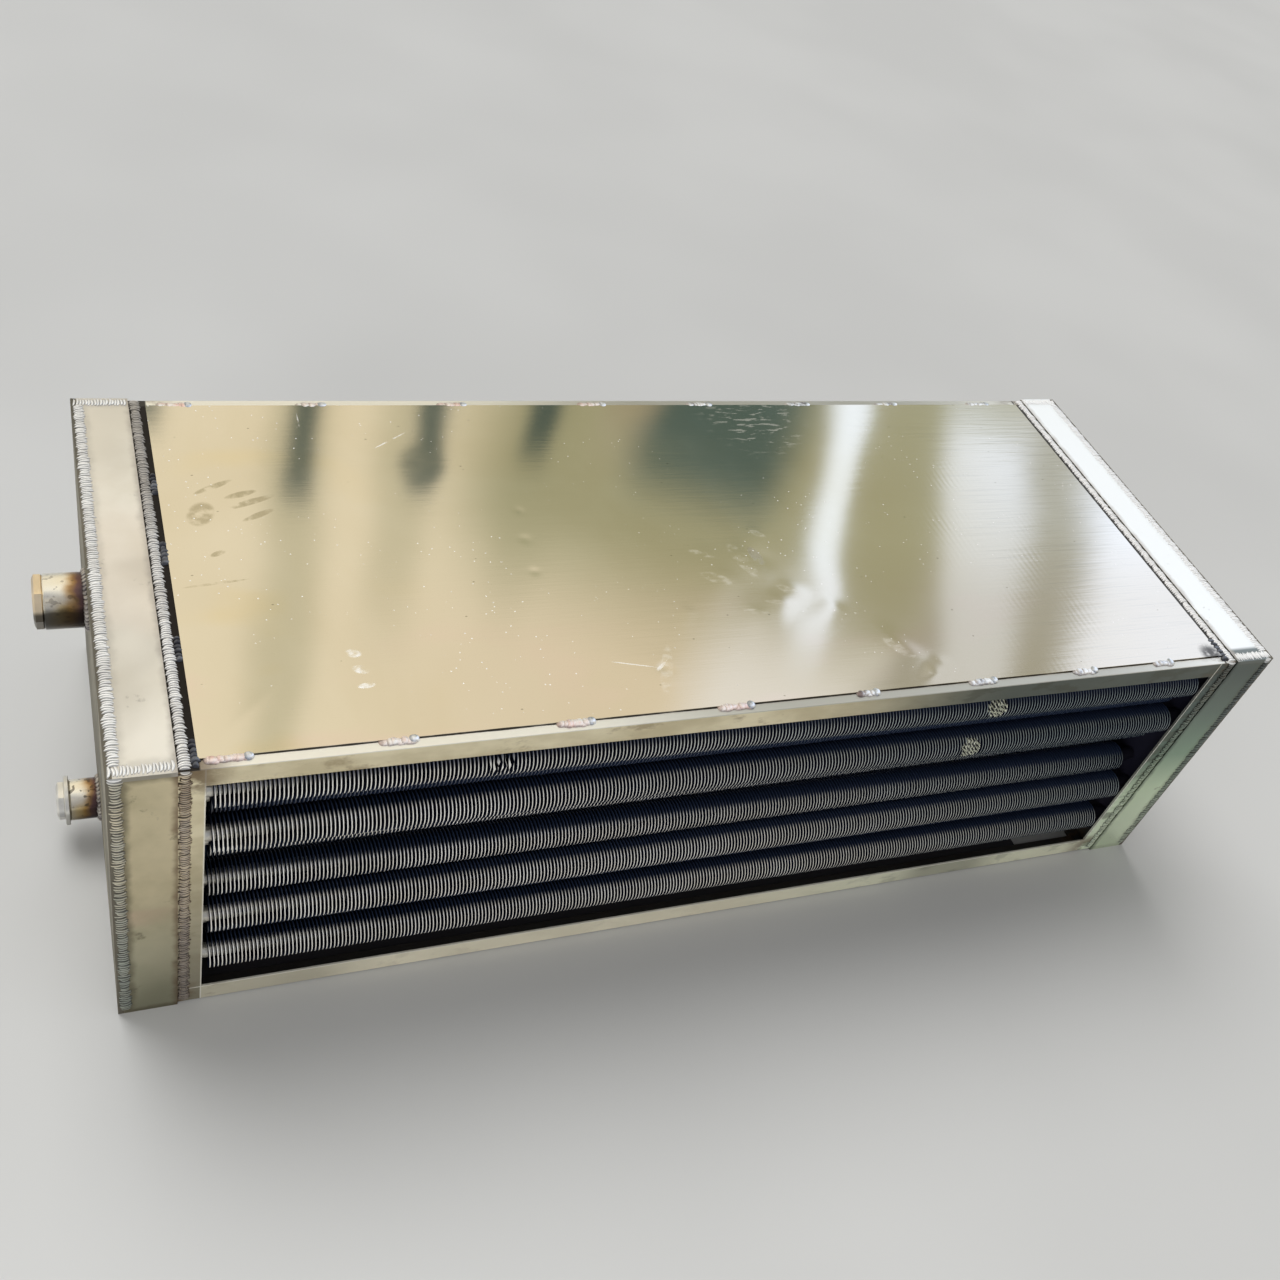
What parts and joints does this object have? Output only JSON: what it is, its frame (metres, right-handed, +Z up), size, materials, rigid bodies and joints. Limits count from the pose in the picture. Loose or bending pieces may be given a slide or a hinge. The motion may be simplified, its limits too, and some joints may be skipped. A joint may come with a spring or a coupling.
{
  "type": "finned tube air heater",
  "caption": "Box-shaped air heater of finned steel tubes between two welded header boxes, open at front and back for the air, with plugged pipe couplings on one end.",
  "frame": {"origin": "centre of the underside of the box between its two end plates, on the surface it rests on", "axes": "+X along the tubes from the end with the couplings to the plain end, +Y from the front window to the back window, +Z up"},
  "size_m": [1.468, 0.564, 0.412],
  "materials": {
    "header_plate": "satin, stained",
    "cover_sheet": "bright, brushed along the length",
    "frame_angle": "satin, brown stains",
    "finned_tube": "dull with bright fin edges",
    "weld_bead": "rippled, heat tinted",
    "coupling": "turned, gold heat tint",
    "hex_plug": "machined"
  },
  "bodies": {
    "root": {"back_bottom_angle": "frame_angle", "back_left_post": "frame_angle", "back_outer_tubes": "finned_tube", "back_right_post": "frame_angle", "back_second_tubes": "finned_tube", "back_third_tubes": "finned_tube", "back_top_angle": "frame_angle", "bottom_cover_sheet": "cover_sheet", "bottom_cross_angles": "frame_angle", "core_tubes_1": "finned_tube", "core_tubes_2": "finned_tube", "core_tubes_3": "finned_tube", "core_tubes_4": "finned_tube", "core_tubes_5": "finned_tube", "front_bottom_angle": "frame_angle", "front_left_post": "frame_angle", "front_outer_tubes": "finned_tube", "front_right_post": "frame_angle", "front_second_tubes": "finned_tube", "front_third_tubes": "finned_tube", "front_top_angle": "frame_angle", "large_coupling": "coupling", "large_hex_plug": "hex_plug", "left_header_back_plate": "header_plate", "left_header_bottom_plate": "header_plate", "left_header_end_plate": "header_plate", "left_header_face_beads": "weld_bead", "left_header_front_plate": "header_plate", "left_header_top_beads": "weld_bead", "left_header_top_plate": "header_plate", "left_tube_sheet": "header_plate", "right_header_back_plate": "header_plate", "right_header_bottom_plate": "header_plate", "right_header_end_plate": "header_plate", "right_header_face_beads": "weld_bead", "right_header_front_plate": "header_plate", "right_header_top_beads": "weld_bead", "right_header_top_plate": "header_plate", "right_tube_sheet": "header_plate", "small_coupling": "coupling", "small_hex_plug": "hex_plug", "top_cover_sheet": "cover_sheet", "top_cross_angles": "frame_angle"}
  },
  "joints": []
}
